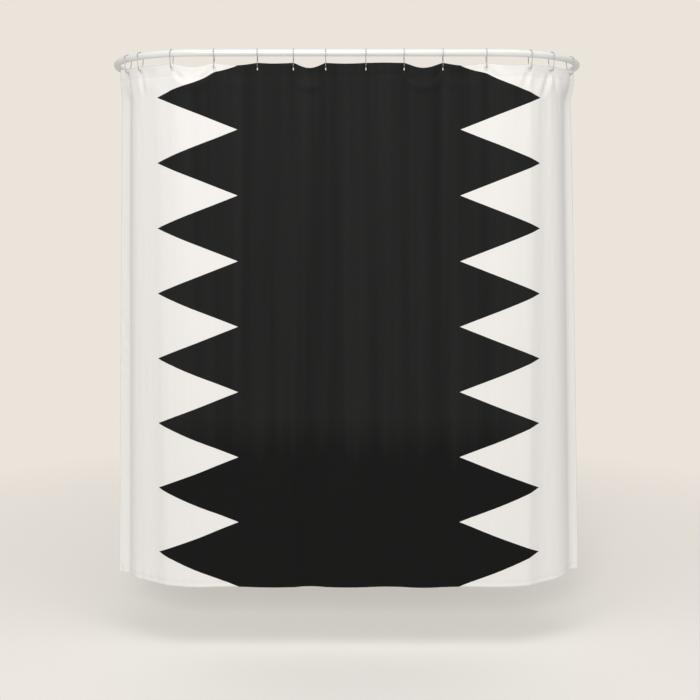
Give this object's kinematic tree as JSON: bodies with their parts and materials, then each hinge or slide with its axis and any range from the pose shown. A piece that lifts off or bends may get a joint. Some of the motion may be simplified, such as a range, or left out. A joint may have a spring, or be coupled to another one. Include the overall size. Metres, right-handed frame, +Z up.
{
  "type": "shower curtain",
  "caption": "Fabric shower curtain with a bold geometric print, hung on wire hooks from a white oval hoop rail that two stays hold to a wall.",
  "frame": {"origin": "centre of the bounding box in plan, at the height of the curtain's hem", "axes": "+X to the right as seen from the front, +Y to the wall, +Z up"},
  "size_m": [1.8018, 0.8366, 1.954],
  "materials": {
    "rail": "gloss white enamel",
    "fittings": "gloss white enamel",
    "screws": "bright steel",
    "hook_wire": "bright drawn wire",
    "cloth": "woven polyester, matt black print on a warm white ground",
    "hems": "woven polyester, warm white, sewn double",
    "thread": "satin stitch, warm white"
  },
  "bodies": {
    "root": {"front_rail": "rail", "rear_rail": "rail", "left_coupling": "fittings", "right_coupling": "fittings", "coupling_screw_1": "screws", "coupling_screw_2": "screws", "coupling_screw_3": "screws", "coupling_screw_4": "screws", "left_saddle": "fittings", "left_saddle_screw": "screws", "left_stay": "fittings", "left_flange": "fittings", "left_flange_screw_1": "screws", "left_flange_screw_2": "screws", "left_flange_screw_3": "screws", "right_saddle": "fittings", "right_saddle_screw": "screws", "right_stay": "fittings", "right_flange": "fittings", "right_flange_screw_1": "screws", "right_flange_screw_2": "screws", "right_flange_screw_3": "screws", "curtain_panel": "cloth", "header_band": "hems", "bottom_hem": "hems", "left_hem": "hems", "buttonhole_01": "thread", "buttonhole_02": "thread", "buttonhole_03": "thread", "buttonhole_04": "thread", "buttonhole_05": "thread", "buttonhole_06": "thread", "buttonhole_07": "thread", "buttonhole_08": "thread", "buttonhole_09": "thread", "buttonhole_10": "thread", "buttonhole_11": "thread"},
    "hook_01": {"hook_01": "hook_wire"},
    "hook_02": {"hook_02": "hook_wire"},
    "hook_03": {"hook_03": "hook_wire"},
    "hook_04": {"hook_04": "hook_wire"},
    "hook_05": {"hook_05": "hook_wire"},
    "hook_06": {"hook_06": "hook_wire"},
    "hook_07": {"hook_07": "hook_wire"},
    "hook_08": {"hook_08": "hook_wire"},
    "hook_09": {"hook_09": "hook_wire"},
    "hook_10": {"hook_10": "hook_wire"},
    "hook_11": {"hook_11": "hook_wire"},
    "free_end": {"hook_14": "hook_wire", "buttonhole_14": "thread", "right_hem": "hems"},
    "sliding_hook_13": {"hook_13": "hook_wire", "buttonhole_13": "thread"},
    "sliding_hook_12": {"hook_12": "hook_wire", "buttonhole_12": "thread"}
  },
  "joints": [
    {"name": "hook_01_rock", "type": "hinge", "parent": "root", "child": "hook_01", "pos_m": [-0.80623, -0.27007, 1.917], "axis": [0.6346, -0.7729, 0], "range_deg": [-3, 3]},
    {"name": "hook_02_rock", "type": "hinge", "parent": "root", "child": "hook_02", "pos_m": [-0.74983, -0.32516, 1.917], "axis": [0.7876, -0.6162, 0], "range_deg": [-3, 3]},
    {"name": "hook_03_rock", "type": "hinge", "parent": "root", "child": "hook_03", "pos_m": [-0.62576, -0.3881, 1.917], "axis": [0.9624, -0.2715, 0], "range_deg": [-3, 3]},
    {"name": "hook_04_rock", "type": "hinge", "parent": "root", "child": "hook_04", "pos_m": [-0.473, -0.40163, 1.917], "axis": [1, 0, 0], "range_deg": [-3, 3]},
    {"name": "hook_05_rock", "type": "hinge", "parent": "root", "child": "hook_05", "pos_m": [-0.318, -0.40163, 1.917], "axis": [1, 0, 0], "range_deg": [-3, 3]},
    {"name": "hook_06_rock", "type": "hinge", "parent": "root", "child": "hook_06", "pos_m": [-0.19, -0.40163, 1.917], "axis": [1, 0, 0], "range_deg": [-3, 3]},
    {"name": "hook_07_rock", "type": "hinge", "parent": "root", "child": "hook_07", "pos_m": [-0.075, -0.40163, 1.917], "axis": [1, 0, 0], "range_deg": [-3, 3]},
    {"name": "hook_08_rock", "type": "hinge", "parent": "root", "child": "hook_08", "pos_m": [0.068, -0.40163, 1.917], "axis": [1, 0, 0], "range_deg": [-3, 3]},
    {"name": "hook_09_rock", "type": "hinge", "parent": "root", "child": "hook_09", "pos_m": [0.204, -0.40163, 1.917], "axis": [1, 0, 0], "range_deg": [-3, 3]},
    {"name": "hook_10_rock", "type": "hinge", "parent": "root", "child": "hook_10", "pos_m": [0.342, -0.40163, 1.917], "axis": [1, 0, 0], "range_deg": [-3, 3]},
    {"name": "hook_11_rock", "type": "hinge", "parent": "root", "child": "hook_11", "pos_m": [0.497, -0.40163, 1.917], "axis": [1, 0, 0], "range_deg": [-3, 3]},
    {"name": "end_draw", "type": "hinge", "parent": "root", "child": "free_end", "pos_m": [0.528, -0.04163, 1.917], "axis": [0, 0, -1], "range_deg": [-3, 24], "deforming": ["curtain_panel", "header_band", "bottom_hem"]},
    {"name": "hook_13_slide", "type": "hinge", "parent": "root", "child": "sliding_hook_13", "pos_m": [0.528, -0.04163, 1.917], "axis": [0, 0, -1], "range_deg": [-3, 24]},
    {"name": "hook_12_slide", "type": "hinge", "parent": "root", "child": "sliding_hook_12", "pos_m": [0.528, -0.04163, 1.917], "axis": [0, 0, -1], "range_deg": [-3, 24]}
  ],
  "couplings": [
    {"joint": "hook_13_slide", "follows": "end_draw", "ratio": 0.71657},
    {"joint": "hook_12_slide", "follows": "end_draw", "ratio": 0.30344}
  ]
}
